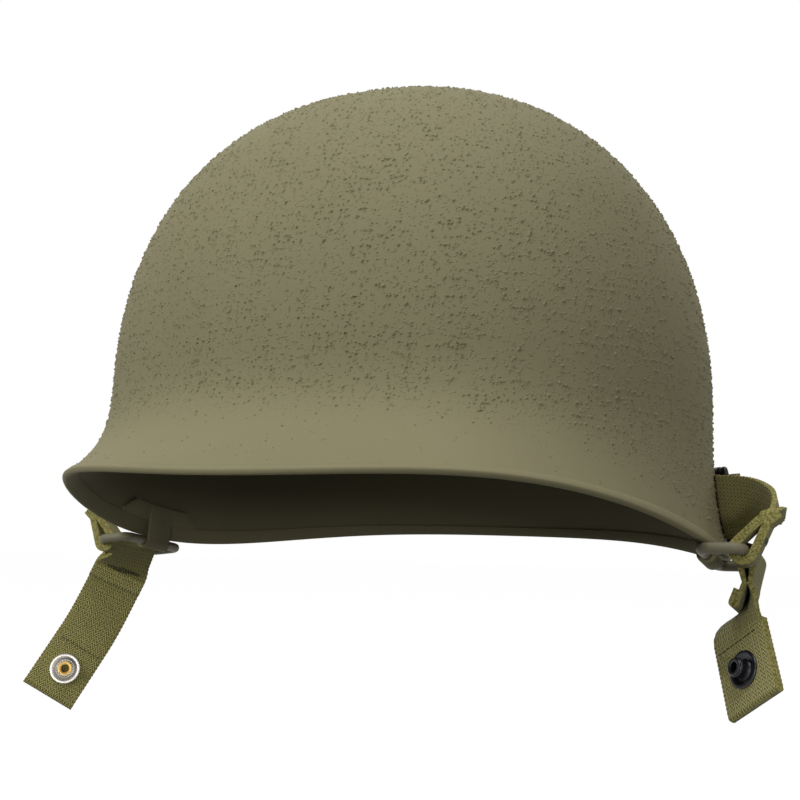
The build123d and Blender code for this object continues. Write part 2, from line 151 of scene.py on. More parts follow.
shell_height, steel_gauge = 178.0, 1.1
rim_half_width, visor_reach, nape_reach = 120.8, 143.2, 139.5
wall_half_width, brow_reach, back_reach = rim_half_width - 6.1, 106.3, 116.8
spring_height, flare_height = 52.2, 44.5
rim_wave_heights = (10.7, 6.4, -2.8, -2.2)
dome_power, plan_power, flare_power = 2.28, 2.18, 2.18
dome_share = 0.6
# The visor turns out of the wall more sharply than in the solids, where the turn's cosine passes front_start
visor_crease, front_start, front_blend = 0.9, 0.33, 0.3
turn_step, share_step = radians(1), 0.004


def power(value, exponent):
    return copysign(abs(value) ** exponent, value)


def rim_wave(turn):
    return sum(height * cos(crests * turn) for crests, height in enumerate(rim_wave_heights, 1))


lowest_wave = min(rim_wave(radians(step)) for step in range(181))


def rim_height(turn):
    return rim_wave(turn) - lowest_wave


def skin(turn, share):
    """A point of the outer skin: turn runs from the visor to the wearer's left, share from crown to rim."""
    swing = min(share / dome_share, 1) * pi / 2
    rise = max(cos(swing), 0) ** (2 / dome_power)
    girth = sin(swing) ** (2 / dome_power)
    rim_z = rim_height(turn)
    skirt = max(share - dome_share, 0) / (1 - dome_share)
    dome = (shell_height - spring_height) * rise * (skirt == 0)
    z = spring_height + dome + (rim_z - spring_height) * skirt
    across, along = power(sin(turn), 2 / plan_power), power(cos(turn), 2 / plan_power)
    wall_x = wall_half_width * across
    wall_y = -(brow_reach if along > 0 else back_reach) * along
    rim_x = rim_half_width * sin(turn)
    rim_y = -(visor_reach if along > 0 else nape_reach) * cos(turn)
    front = min(max((cos(turn) - front_start) / front_blend, 0), 1)
    crease = visor_crease * front * front * (3 - 2 * front)
    flare = min(max(1 - (z - rim_z) / flare_height, 0), 1) ** (flare_power + crease)
    x = wall_x * girth + (rim_x - wall_x) * flare
    y = wall_y * girth + (rim_y - wall_y) * flare
    return Vector((x, y, z))


def upward(turn, share):
    return (skin(turn, share - share_step) - skin(turn, share)).normalized()


def outward(turn, share):
    along_rim = skin(turn + turn_step, share) - skin(turn - turn_step, share)
    return along_rim.cross(upward(turn, share)).normalized()


def near_skin(turn, share, out, up=0):
    return skin(turn, share) + outward(turn, share) * out + upward(turn, share) * up


def share_at(turn, z):
    return dome_share + (1 - dome_share) * (spring_height - z) / (spring_height - rim_height(turn))


# Meshes


def new_piece(name, mesh, look, body=None, replaced=()):
    """An object for a finished mesh, on its body, in place of the solids it shows."""
    piece = bpy.data.objects.new(name.replace(" ", "-"), mesh)
    bpy.context.scene.collection.objects.link(piece)
    mesh.materials.append(look)
    if replaced:
        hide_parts(*replaced)
    if body:
        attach(piece, body)
    return piece


def mesh_from(bm, name, smooth_angle=None):
    mesh = bpy.data.meshes.new(name)
    bm.to_mesh(mesh)
    bm.free()
    mesh.shade_smooth()
    if smooth_angle is not None:
        mesh.set_sharp_from_angle(angle=radians(smooth_angle))
    return mesh


def applied(piece, *modifiers):
    """Works modifiers into the piece's mesh, each given as its type and settings."""
    for kind, values in modifiers:
        modifier = piece.modifiers.new(kind.title(), kind)
        for key, value in values.items():
            setattr(modifier, key, value)
    evaluated = piece.evaluated_get(bpy.context.evaluated_depsgraph_get())
    mesh = bpy.data.meshes.new_from_object(evaluated)
    piece.modifiers.clear()
    piece.data = mesh


def finished_solid(node, look, smooth_angle, round_off=0.0):
    """A smooth-shaded copy of a solid, with its edges rounded off by so many millimetres."""
    solid, name = frame["nodes"][node], node.replace("_", " ")
    bm = bmesh.new()
    bm.from_mesh(solid.data)
    bmesh.ops.remove_doubles(bm, verts=bm.verts, dist=0.002 * MM)
    bmesh.ops.dissolve_limit(bm, angle_limit=radians(0.5), verts=bm.verts, edges=bm.edges)
    bmesh.ops.triangulate(bm, faces=bm.faces)
    piece = new_piece(name, mesh_from(bm, name, smooth_angle), look, solid["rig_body"], [node])
    if round_off:
        rounding = dict(width=round_off * MM, segments=2, limit_method="ANGLE", angle_limit=radians(40))
        applied(piece, ("BEVEL", rounding))
        piece.data.shade_smooth()
        piece.data.set_sharp_from_angle(angle=radians(smooth_angle))


# Materials


def linear(colour):
    """An sRGB hex value as the linear colour that a shader takes."""
    values = [int(colour[i : i + 2], 16) / 255 for i in (0, 2, 4)]
    return tuple(v / 12.92 if v <= 0.04045 else ((v + 0.055) / 1.055) ** 2.4 for v in values) + (1.0,)


def add(tree, kind, links=(), stops=(), **values):
    """A node with its inputs, colour stops and settings; a node as an input stands for its first output."""
    made = tree.nodes.new("ShaderNode" + kind)
    for key, value in values.items():
        setattr(made, key, value)
    for key, source in dict(links).items():
        if isinstance(source, bpy.types.Node):
            source = source.outputs[0]
        if isinstance(source, bpy.types.NodeSocket):
            tree.links.new(source, made.inputs[key])
        else:
            made.inputs[key].default_value = source
    for number, (place, colour) in enumerate(stops):
        points = made.color_ramp.elements
        point = points[number] if number < len(points) else points.new(place)
        point.position, point.color = place, colour
    return made


def material(name, **shader):
    """A material with its node tree and its surface, whose inputs are set by name."""
    made = bpy.data.materials.new(name)
    made.use_nodes = True
    surface = made.node_tree.nodes["Principled BSDF"]
    for key, value in shader.items():
        surface.inputs[key.replace("_", " ").title().replace("Ior", "IOR")].default_value = value
    return made, made.node_tree, surface


def coat(tree, surface, colour, bump):
    tree.links.new(colour.outputs[0], surface.inputs["Base Color"])
    tree.links.new(bump.outputs[0], surface.inputs["Normal"])


def grey(value):
    return (value, value, value, 1.0)


def olive_paint(name, base, worn, gritty=False):
    """Sprayed alkyd enamel, matte; where it is gritty, ground cork under it breaks the light into specks."""
    made, tree, surface = material(name, roughness=0.8, specular_ior_level=0.25)
    place = add(tree, "TexCoord").outputs["Object"]
    # Patches of slightly worn paint, about 35 mm across
    patches = add(tree, "TexNoise", {"Vector": place, "Scale": 28.0, "Detail": 3.0})
    tone = add(tree, "MixRGB", {"Fac": patches, "Color1": linear(base), "Color2": linear(worn)})
    # A fine orange peel of 0.4 mm, and grit of about 1.1 mm between the modelled grains
    peel = add(tree, "TexNoise", {"Vector": place, "Scale": 2400.0, "Detail": 1.0})
    bump = add(tree, "Bump", {"Height": peel, "Strength": 0.16, "Distance": 0.00012})
    if gritty:
        mask = add(tree, "Attribute", attribute_name="grit").outputs["Fac"]
        grit = add(tree, "TexNoise", {"Vector": place, "Scale": 900.0, "Detail": 1.0})
        grains = add(tree, "ValToRGB", {"Fac": grit}, [(0.6, grey(0.0)), (0.7, grey(1.0))])
        height = add(tree, "Math", {0: grains, 1: mask}, operation="MULTIPLY")
        bump = add(tree, "Bump", {"Height": height, "Strength": 0.9, "Distance": 0.00026, "Normal": bump})
    coat(tree, surface, tone, bump)
    return made


def webbing_cloth():
    """Woven cotton webbing in a herringbone twill; its yarns catch the light in slanting rows."""
    values = settings("webbing")
    made, tree, surface = material(
        "cotton webbing", roughness=0.9, specular_ior_level=0.2, sheen_weight=0.25, sheen_roughness=0.5
    )
    uv = add(tree, "UVMap", uv_map="UVMap")
    apart = add(tree, "SeparateXYZ", {0: uv}).outputs
    across = add(tree, "Math", {0: apart[0], 1: values.rib * MM}, operation="DIVIDE")
    along = add(tree, "Math", {0: apart[1], 1: values.pick * MM}, operation="DIVIDE")
    # The slant turns back at each rib, which makes the herringbone
    zigzag = add(tree, "Math", {0: across, 1: 1.0}, operation="PINGPONG")
    wander = add(tree, "TexNoise", {"Vector": uv, "Scale": 420.0, "Detail": 1.0})
    slant = add(tree, "Math", {0: zigzag, 1: 1.5, 2: along}, operation="MULTIPLY_ADD")
    slant = add(tree, "Math", {0: wander, 1: 0.35, 2: slant}, operation="MULTIPLY_ADD")
    turns = add(tree, "Math", {0: slant, 1: 2 * pi}, operation="MULTIPLY")
    yarn = add(tree, "Math", {0: turns}, operation="SINE")
    yarn = add(tree, "Math", {0: yarn, 1: 0.5, 2: 0.5}, operation="MULTIPLY_ADD")
    # Each rib is rounded: highest at its middle and low where it meets the next
    crown = add(tree, "Math", {0: across, 1: pi}, operation="MULTIPLY")
    crown = add(tree, "Math", {0: crown}, operation="SINE")
    crown = add(tree, "Math", {0: crown}, operation="ABSOLUTE")
    crown = add(tree, "Math", {0: crown, 1: 0.55, 2: 0.45}, operation="MULTIPLY_ADD")
    height = add(tree, "Math", {0: yarn, 1: crown}, operation="MULTIPLY")
    # Loose fibres, about half a millimetre across
    fuzz = add(tree, "TexNoise", {"Vector": uv, "Scale": 1900.0, "Detail": 2.0})
    height = add(tree, "Math", {0: fuzz, 1: 0.3, 2: height}, operation="MULTIPLY_ADD")
    # The colour follows the weave's height: painted shade in the gaps between yarns and where ribs meet, and
    # the yarns' tops lighter, as painted light
    stops = [(0.16, linear(values.shade)), (0.42, linear("979052")), (0.86, linear(values.colour))]
    colour = add(tree, "ValToRGB", {"Fac": height}, stops)
    coat(tree, surface, colour, add(tree, "Bump", {"Height": height, "Strength": 0.8, "Distance": 0.00035}))
    return made


def selvage_cloth():
    """The webbing's edge, where the weft turns back over the last warp threads."""
    made, tree, surface = material("webbing selvage", roughness=0.9, specular_ior_level=0.2)
    place = add(tree, "TexCoord").outputs["Object"]
    # Bunched yarn ends, about 0.7 mm across
    bunches = add(tree, "TexNoise", {"Vector": place, "Scale": 1400.0, "Detail": 2.0, "Roughness": 0.6})
    # The colour follows the same noise as the bumps: painted shade on the lower yarn ends, lighter on the
    # raised ones
    stops = [(0.34, linear(settings("webbing").shade)), (0.48, linear("857F48")), (0.7, linear("A19B66"))]
    colour = add(tree, "ValToRGB", {"Fac": bunches}, stops)
    coat(tree, surface, colour, add(tree, "Bump", {"Height": bunches, "Strength": 0.6, "Distance": 0.0004}))
    return made


def sewing_thread():
    """Dark waxed cotton thread, duller than the webbing."""
    return material("sewing thread", roughness=0.8, base_color=linear("2B2E17"))[0]


def worn_metal(name, colour, roughness, metallic=1.0):
    """Plated, darkened or painted metal, whose fine rubbed wear of about 1 mm spreads its highlights."""
    made, tree, surface = material(name, metallic=metallic, roughness=roughness, base_color=linear(colour))
    place = add(tree, "TexCoord").outputs["Object"]
    wear = add(tree, "TexNoise", {"Vector": place, "Scale": 900.0, "Detail": 3.0})
    rough = add(tree, "MapRange", {"Value": wear, "To Min": roughness - 0.08, "To Max": roughness + 0.12})
    tree.links.new(rough.outputs[0], surface.inputs["Roughness"])
    return made


finishes = {}


def finish(name):
    """A finish by name, made when it is first asked for."""
    makers = {
        "grit paint": lambda: olive_paint("olive grit enamel", settings("paint").colour, "7B7659", True),
        "paint": lambda: olive_paint("olive enamel", settings("paint").colour, "7B7659"),
        # The inside paint and its worn tone are a little darker than the outer, partly as painted shade for
        # the bowl's inside
        "inside paint": lambda: olive_paint("inside enamel", settings("paint").inside, "716C51"),
        "webbing": webbing_cloth,
        "selvage": selvage_cloth,
        "thread": sewing_thread,
        "brass": lambda: worn_metal("brass eyelet", "A98A4E", 0.34),
        "nickel": lambda: worn_metal("nickel plate", "B3AFA8", 0.3),
        "black steel": lambda: worn_metal("blackened steel", "3A3A3E", 0.36),
        "black brass": lambda: worn_metal("blackened brass", "2E2C2A", 0.42),
        "wire paint": lambda: worn_metal("olive enamel on wire", "625D46", 0.55, metallic=0.0),
    }
    if name not in finishes:
        finishes[name] = makers[name]()
    return finishes[name]


# Shell

# Quads along each side of the shell's grid, and how far out of its middle the dome reaches
shell_grid, dome_reach_share = 190, 0.766


def disc_place(x, y):
    """Turn and share of a grid's point, with the grid's edge as the rim and its middle as the crown."""
    if abs(x) < 1e-9 and abs(y) < 1e-9:
        return 0.0, 0.0
    if abs(x) > abs(y):
        reach, turn = x, pi / 4 * y / x
    else:
        reach, turn = y, pi / 2 - pi / 4 * x / y
    if reach < 0:
        turn += pi
    reach = abs(reach)
    if reach < dome_reach_share:
        share = reach / dome_reach_share * dome_share
    else:
        share = dome_share + (reach - dome_reach_share) / (1 - dome_reach_share) * (1 - dome_share)
    return turn, share


def grittiness(turn, place):
    """How much grit the paint has: little on the visor's flare, and none at the rim itself."""
    front = max(cos(turn), 0)
    above = place.z - rim_height(turn)
    bare, blend = 3 + 11 * front, 5 + 9 * front
    stray = 0.12 * min(above / 4, 1)
    return min(max((above - bare) / blend, stray), 1)


def shell_mesh():
    bm = bmesh.new()
    bmesh.ops.create_grid(bm, x_segments=shell_grid, y_segments=shell_grid, size=1)
    grit = bm.verts.layers.float.new("grit")
    for vert in bm.verts:
        turn, share = disc_place(vert.co.x, vert.co.y)
        place = skin(turn, share)
        vert[grit] = grittiness(turn, place)
        vert.co = place * MM
    bmesh.ops.recalc_face_normals(bm, faces=bm.faces)
    bm.normal_update()
    if sum(face.normal.z for face in bm.faces) < 0:
        bmesh.ops.reverse_faces(bm, faces=bm.faces)
    return bm


class HELMET_OT_shell(bpy.types.Operator):
    """Press the shell and paint it, with separate paint inside"""

    bl_idname = "helmet.shell"
    bl_label = "Shell"

    def execute(self, context):
        mesh = mesh_from(shell_mesh(), "helmet shell")
        look = finish("grit paint")
        piece = new_piece("helmet shell", mesh, look, "helmet", ["steel_shell"])
        mesh.materials.append(finish("inside paint"))
        wall = dict(thickness=steel_gauge * MM, offset=-1.0, material_offset=1, material_offset_rim=1)
        applied(piece, ("SOLIDIFY", wall))
        piece.data.set_sharp_from_angle(angle=radians(50))
        return {"FINISHED"}


# Places tried for each grain that stays, and the sizes of grains as shares of the usual one
tries, size_shares = 4, (0.75, 0.85, 0.95, 1.05, 1.2, 1.5)
# Grains lie in clusters and smaller tufts, with few between them, where the noise is low
cluster_width, tuft_width, tuft_depth = 11, 4, 0.35
cluster_start, cluster_blend, stray_share = 0.14, 0.5, 0.14


def grit_mesh(values, draw):
    """Grains scattered over the shell, each a blunt cone set a little into the paint."""
    surface = shell_mesh()
    layer = surface.verts.layers.float["grit"]
    faces = list(surface.faces)
    areas = [face.calc_area() for face in faces]
    picked = draw.choices(faces, weights=areas, k=values.grain_count * tries)
    grain = bmesh.new()
    bmesh.ops.create_cone(grain, segments=5, radius1=0.5, radius2=0.2, depth=1, cap_ends=True)
    underside = [face for face in grain.faces if face.normal.z < -0.5]
    bmesh.ops.delete(grain, geom=underside, context="FACES_ONLY")
    grains, count = bmesh.new(), 0
    covered = grains.verts.layers.float.new("grit")
    single = bpy.data.meshes.new("one grain")
    for face in picked:
        if count >= values.grain_count:
            break
        corners = face.verts
        weights = [draw.random() for _ in corners]
        total = sum(weights)
        place = sum((v.co * w for v, w in zip(corners, weights)), Vector()) / total
        facing = sum((v.normal * w for v, w in zip(corners, weights)), Vector()).normalized()
        grit = corners[0][layer]
        cluster = 0.5 + 0.5 * noise.noise(place / (cluster_width * MM))
        cluster += tuft_depth * noise.noise(place / (tuft_width * MM))
        chance = min(max((cluster - cluster_start) / cluster_blend, stray_share), 1) * grit
        size = values.grain_length * draw.choice(size_shares) * (0.6 + 0.4 * grit)
        slim = draw.uniform(0.45, 0.9)
        tall = values.grain_height * draw.uniform(0.7, 1.25) * min(size, 1.25)
        spin = draw.uniform(0, 2 * pi)
        if draw.random() > chance:
            continue
        turned = facing.to_track_quat("Z", "Y").to_matrix().to_4x4() @ Matrix.Rotation(spin, 4, "Z")
        # The cone's foot lies in the paint, so it is taller than what shows
        scale = Matrix.Diagonal((size * MM, max(size * slim, 0.5) * MM, tall * 1.4 * MM, 1))
        lift = Matrix.Translation(place + facing * (tall * 0.3 * MM))
        one = grain.copy()
        bmesh.ops.transform(one, matrix=lift @ turned @ scale, verts=one.verts)
        one.to_mesh(single)
        one.free()
        grains.from_mesh(single)
        count += 1
    for vert in grains.verts:
        vert[covered] = 1.0
    surface.free()
    grain.free()
    bpy.data.meshes.remove(single)
    return mesh_from(grains, "paint grit")


class HELMET_OT_grit(bpy.types.Operator):
    """Scatter the grains that stand out under the paint"""

    bl_idname = "helmet.grit"
    bl_label = "Grit"

    def execute(self, context):
        mesh = grit_mesh(settings("paint"), random.Random(11))
        new_piece("paint grit", mesh, finish("grit paint"), "helmet")
        return {"FINISHED"}


class HELMET_OT_rim_band(bpy.types.Operator):
    """Fold the rim band over the shell's edge"""

    bl_idname = "helmet.rim_band"
    bl_label = "Rim band"

    def execute(self, context):
        gauge, clearance, outer_leg, inner_leg, steps_round = 0.5, 0.06, 3.0, 6.0, 420
        near, far = clearance, clearance + gauge
        middle, reach = -steel_gauge / 2, steel_gauge / 2 + far
        # Out from the skin and up from the rim: the outer leg's end, the bend under the edge, the inner leg
        section = [(near, outer_leg - 0.15), (far - 0.2, outer_leg), (far, outer_leg - 0.25)]
        for step in range(9):
            swing = pi * step / 8
            section.append((middle + reach * cos(swing), reach * 0.3 - far * 0.3 - reach * 0.75 * sin(swing)))
        inner = -steel_gauge - far
        tip = inner + gauge
        section += [(inner, inner_leg - 0.3), (inner + 0.2, inner_leg), (tip, inner_leg - 0.1), (tip, 0.1)]
        section += [(near, 0.1), section[0]]
        last = len(section) - 1
        bm = bmesh.new()
        bmesh.ops.create_grid(bm, x_segments=last, y_segments=steps_round, size=1)
        for vert in bm.verts:
            out, up = section[round((vert.co.x + 1) / 2 * last)]
            vert.co = near_skin(pi * (vert.co.y + 1), 1, out, up) * MM
        bmesh.ops.remove_doubles(bm, verts=bm.verts, dist=0.001 * MM)
        bmesh.ops.recalc_face_normals(bm, faces=bm.faces)
        mesh = mesh_from(bm, "rim band", 50)
        new_piece("rim band", mesh, finish("paint"), "helmet", ["rim_band"])
        return {"FINISHED"}


class HELMET_OT_wire_fittings(bpy.types.Operator):
    """Finish the bales and the brackets they swing in"""

    bl_idname = "helmet.wire_fittings"
    bl_label = "Bales and brackets"

    def execute(self, context):
        for side in ("left", "right"):
            finished_solid(f"{side}_bale", finish("wire paint"), 40)
            finished_solid(f"{side}_bale_bracket", finish("paint"), 30, 0.25)
        return {"FINISHED"}


# Webbing

wire_diameter, wire_gap = 3.8, 0.35
bale_spacing, bar_side_gap = 38.0, 0.6
sewn_depth, tail_length, hem_length, tab_length, stud_setback = 9.5, 17.0, 4.6, 27.0, 13.0
gather_width, gather_gauge, gather_height, gather_lean = 8.5, 2.4, 12.0, 34.0
loop_radius = wire_diameter / 2 + wire_gap
chin_shift = (wire_diameter + gather_width - bale_spacing) / 2 + bar_side_gap
# Plies are drawn slightly thin, so that two sewn together don't share a face
ply_gap, selvage_ripple, columns = 0.12, 0.14, 15


class StrapSide:
    """Where one side's bale bar and snap strap lie, worked out on the wearer's left.

    The strap, its knot and its tail lean out by angles in degrees. Its tab drifts by shares of its length
    and points along tab_way, and the webbing twists between two depths below the bar.
    """

    across_tab = Vector((-0.69, 0.49, -0.53))

    def __init__(self, name, lean, drift, tab_way, hang, twist, tail_lean=None):
        pivot = next(joint for joint in frame["joints"] if joint["name"] == f"{name}_snap_hinge")
        self.name, self.twist, self.tail_lean = name, twist, tail_lean
        self.sign = 1 if name == "left" else -1
        x, y, z = (value / MM for value in pivot["pos_m"])
        bar = Vector((x * self.sign, y, z))
        self.back = Vector(pivot["axis"]) * self.sign
        self.out = Vector((1, 0, 0))
        self.up = self.out.cross(self.back)
        self.fold_out, self.fold_up = self.leaned(-gather_lean)
        self.gather = bar + self.back * chin_shift
        self.head = bar + self.back * (chin_shift + (gather_width + webbing_width) / 2 + bar_side_gap)
        start = self.head - self.leaned(lean)[1] * tail_length
        top = start + Vector(drift) * tab_length
        along = Vector(tab_way).normalized()
        # The webbing hangs from its knot below the bar, straight into its turn towards the tab
        self.head_up = self.leaned(hang)[1]
        knot = self.head - self.head_up * sewn_depth
        pull = (top - knot).length / 3
        self.curve = (knot, knot - self.head_up * pull, top - along * pull, top)
        self.free_length = (top - knot).length

    def leaned(self, angle):
        """The out and up directions, tilted so that down leans out by an angle in degrees."""
        lean = radians(angle)
        return self.out * cos(lean) + self.up * sin(lean), self.up * cos(lean) - self.out * sin(lean)

    def axes(self, along, depth):
        """Across, away from the head and along, for webbing that far below the bar."""
        first, last = self.twist
        share = min(max((depth - first) / (last - first), 0), 1)
        turned = (1 - cos(pi * share)) / 2
        across = self.back * (1 - turned) + self.across_tab * turned
        across = (across - along * along.dot(across)).normalized()
        return across, along.cross(across), along

    def sewn(self, x, z):
        """A row of the sewn loop round the bar, from its place out from and above the bar."""
        across, away, along = self.axes(-self.head_up, -z)
        return flat_row(self.head + self.head_up * z + away * x, across)

    def hanging(self, share):
        """Place, across, away and along at a share of the webbing between the knot and the tab."""
        a, b, c, d = self.curve
        rest = 1 - share
        place = a * rest**3 + b * (3 * rest * rest * share) + c * (3 * rest * share * share) + d * share**3
        along = (b - a) * (rest * rest) + (c - b) * (2 * rest * share) + (d - c) * (share * share)
        along.normalize()
        depth = sewn_depth + share * self.free_length if share < 1 else self.twist[1]
        return place, *self.axes(along, depth)

    def tail(self, below):
        """Place, across, away and along on the sewn tail, that far below the knot."""
        if self.tail_lean is None:
            return self.hanging(below / self.free_length)
        along = -self.leaned(self.tail_lean)[1]
        return self.curve[0] + along * below, self.back, along.cross(self.back), along

    def mirrored(self, point):
        """A point worked out on the wearer's left, as it lies on this side."""
        return Vector((point.x * self.sign, point.y, point.z))

    def placed(self, rows):
        return [[self.mirrored(point) for point in row] for row in rows]


left = StrapSide(
    "left", 4.0, (-0.18, -0.24, -0.26), (0.25, -0.55, -0.8), hang=2.0, twist=(9.0, 24.0), tail_lean=-20.0
)
right = StrapSide("right", 12.0, (0.4, -0.36, -0.87), (0.32, -0.42, -0.85), hang=24.0, twist=(1.0, 17.0))


def shares():
    """Places across the webbing, from -1 to 1, closer together at the selvages."""
    even = [2 * i / (columns - 1) - 1 for i in range(columns)]
    return [sin(pi / 2 * s) * 0.35 + s * 0.65 for s in even]


def flat_row(centre, across):
    half = settings("webbing").width / 2
    return [centre + across * (s * half) for s in shares()]


def resampled(rows, step):
    """Rows spaced evenly along the webbing, with the length reached at each."""
    middle = len(rows[0]) // 2
    reached = [0.0]
    for first, second in zip(rows, rows[1:]):
        reached.append(reached[-1] + (second[middle] - first[middle]).length)
    count = max(round(reached[-1] / step), 1)
    made, lengths, at = [], [], 0
    for i in range(count + 1):
        goal = reached[-1] * i / count
        while at < len(rows) - 2 and reached[at + 1] < goal:
            at += 1
        span = max(reached[at + 1] - reached[at], 1e-9)
        share = min(max((goal - reached[at]) / span, 0), 1)
        made.append([a.lerp(b, share) for a, b in zip(rows[at], rows[at + 1])])
        lengths.append(goal)
    return made, lengths


def webbing_piece(name, rows, step=0.45):
    """Webbing through rows of points, with its selvages rippled by the weft and its UVs in metres."""
    values = settings("webbing")
    rows, lengths = resampled(rows, step)
    across_shares = shares()
    bm = bmesh.new()
    bmesh.ops.create_grid(bm, x_segments=columns - 1, y_segments=len(rows) - 1, size=1)
    uv = bm.loops.layers.uv.new("UVMap")
    spots = {}
    for vert in bm.verts:
        i = round((vert.co.x + 1) / 2 * (columns - 1))
        j = round((vert.co.y + 1) / 2 * (len(rows) - 1))
        spots[vert] = i, j
        place = rows[j][i].copy()
        if i in (0, columns - 1):
            inner = rows[j][1 if i == 0 else columns - 2]
            edge = (place - inner).normalized()
            place += edge * (selvage_ripple * sin(2 * pi * lengths[j] / values.pick))
        vert.co = place * MM
    for face in bm.faces:
        for loop in face.loops:
            i, j = spots[loop.vert]
            loop[uv].uv = (across_shares[i] * values.width / 2 * MM, lengths[j] * MM)
    piece = new_piece(name, mesh_from(bm, name), finish("webbing"))
    piece.data.materials.append(finish("selvage"))
    thickness = (values.gauge - ply_gap) * MM
    applied(
        piece,
        ("SOLIDIFY", dict(thickness=thickness, offset=0.0, use_even_offset=True, material_offset_rim=1)),
        ("BEVEL", dict(width=0.3 * thickness, segments=2, limit_method="ANGLE", angle_limit=radians(55))),
    )
    piece.data.shade_smooth()
    return piece


def arc(centre, radius, first, last, count):
    """Points of a circle, as pairs, between two angles in degrees."""
    angles = [radians(first + (last - first) * i / count) for i in range(count + 1)]
    return [(centre[0] + radius * cos(a), centre[1] + radius * sin(a)) for a in angles]


def loop_legs(gauge, knot):
    """The angle below level, in degrees, at which webbing leaves its bend round a bar for its knot."""
    reach = sqrt(knot[0] ** 2 + knot[1] ** 2)
    return (atan2(knot[1], knot[0]) - acos((loop_radius + gauge / 2) / reach)) * 180 / pi


def tail_rows(side):
    """The sewn tail from its hem up to the knot, flat on the webbing or hanging away from it."""
    half = settings("webbing").gauge / 2
    reach = tail_length - sewn_depth
    spots = [side.tail(reach * (1 - step / 6)) for step in range(7)]
    place, across, away, along = spots[0]
    rows = [flat_row(place - away * (3 * half) - along * hem_length, across)]
    for out, down in arc((-2 * half, 0), half, 180, 360, 6):
        rows.append(flat_row(place + away * out - along * down, across))
    return rows + [flat_row(place - away * half, across) for place, across, away, along in spots[1:]]


def snap_strap_rows(side):
    """From the hem up the tail, over the bar, down the free middle and round the doubled tab."""
    gauge = settings("webbing").gauge
    half = gauge / 2
    lean = loop_legs(gauge, (half, sewn_depth))
    profile = arc((0, 0), loop_radius + half, 180 + lean, -lean, 16)
    profile = [(-half * 1.6, -sewn_depth * 0.75)] + profile
    profile += [(half * 1.6, -sewn_depth * 0.75), (half, -sewn_depth)]
    rows = tail_rows(side) + [side.sewn(x, z) for x, z in profile]
    for step in range(1, 31):
        place, across, away, along = side.hanging(step / 30)
        rows.append(flat_row(place + away * half, across))
    turn = [(half, tab_length * 0.4)] + arc((gauge, tab_length - gauge), half, 180, 0, 6)
    turn += [(3 * half, down * tab_length) for down in (0.8, 0.6, 0.45, 0.3, 0.15, 0.0)]
    for out, down in turn:
        rows.append(flat_row(place + away * out + along * down, across))
    return side.placed(rows)


class HELMET_OT_snap_straps(bpy.types.Operator):
    """Weave and sew the snap straps"""

    bl_idname = "helmet.snap_straps"
    bl_label = "Snap straps"

    def execute(self, context):
        for side in (left, right):
            piece = webbing_piece(f"{side.name} snap strap", snap_strap_rows(side))
            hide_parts(f"{side.name}_snap_strap")
            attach(piece, f"{side.name}_snap")
        return {"FINISHED"}


# The stowed chin strap

chin_skin_gap = 0.4
chin_side_height, chin_back_height, chin_side_turn = 19.5, 40.0, 96.0
chin_bulge, chin_tail_length, chin_tail_gap, chin_return_length = 5.5, 34.0, 0.9, 13.0
fitting_turn, fitting_bar, bar_gap, buckle_length, hook_gauge = 108.0, 2.4, 0.3, 17.0, 1.2


def chin_level(turn):
    side = radians(chin_side_turn)
    share = (min(turn, 2 * pi - turn) - side) / (pi - side)
    return chin_side_height + (chin_back_height - chin_side_height) * (1 - cos(pi * share)) / 2


def chin_point(turn, side, out):
    z = chin_level(turn) + side * settings("webbing").width / 2
    return near_skin(turn, share_at(turn, z), out)


def skin_row(turn, out):
    return [chin_point(turn, -s, out) for s in shares()]


def skin_rows(first, last, count, out):
    return [skin_row(first + (last - first) * i / (count - 1), out) for i in range(count)]


def run_height():
    """How far out from the skin the middle of the strap's first ply lies."""
    return chin_skin_gap + settings("webbing").gauge / 2


def fold_row(centre, across, facing, width, openness, bulge=0.0):
    """Webbing folded lengthwise, its spine towards the end of across, or opened out flat."""
    across, facing = Vector(across).normalized(), Vector(facing)
    facing = (facing - across * across.dot(facing)).normalized()
    half_apart = gather_gauge / 2 * 0.52
    row = []
    for s in shares():
        folded = width / 2 * (1 - 2 * abs(s))
        flat = s * width / 2
        apart = copysign(min(abs(s) * 8, 1), s) * half_apart * (1 - openness) + s * bulge
        row.append(centre + across * (folded * (1 - openness) + flat * openness) + facing * apart)
    return row


def gather_rows(side):
    """The folded end, from its raw edge down the outer leg, round the bar and up to the knee."""
    knot = (gather_gauge / 2, gather_height)
    lean = loop_legs(gather_gauge, knot)
    # Out from the bar and up from it, with the raw edge standing a little open
    profile = [(knot[0] + 1.4, gather_height + 4.5), (knot[0] + 0.6, gather_height + 2), knot]
    profile += arc((0, 0), loop_radius + gather_gauge / 2, lean, -180 - lean, 16)
    profile += [(-knot[0], gather_height)]
    spine = [side.gather + side.fold_out * x + side.fold_up * z for x, z in profile]
    made = []
    for before, centre, after in zip(spine[:1] + spine, spine, spine[1:] + spine[-1:]):
        made.append(fold_row(centre, side.back, (after - before).cross(side.back), gather_width, 0.0))
    return made


def between(p, q, r, s, t):
    """A point between q and r on the smooth curve through all four."""
    square, cube = 2 * p - 5 * q + 4 * r - s, 3 * q - p - 3 * r + s
    return 0.5 * ((2 * q) + (r - p) * t + square * t * t + cube * t**3)


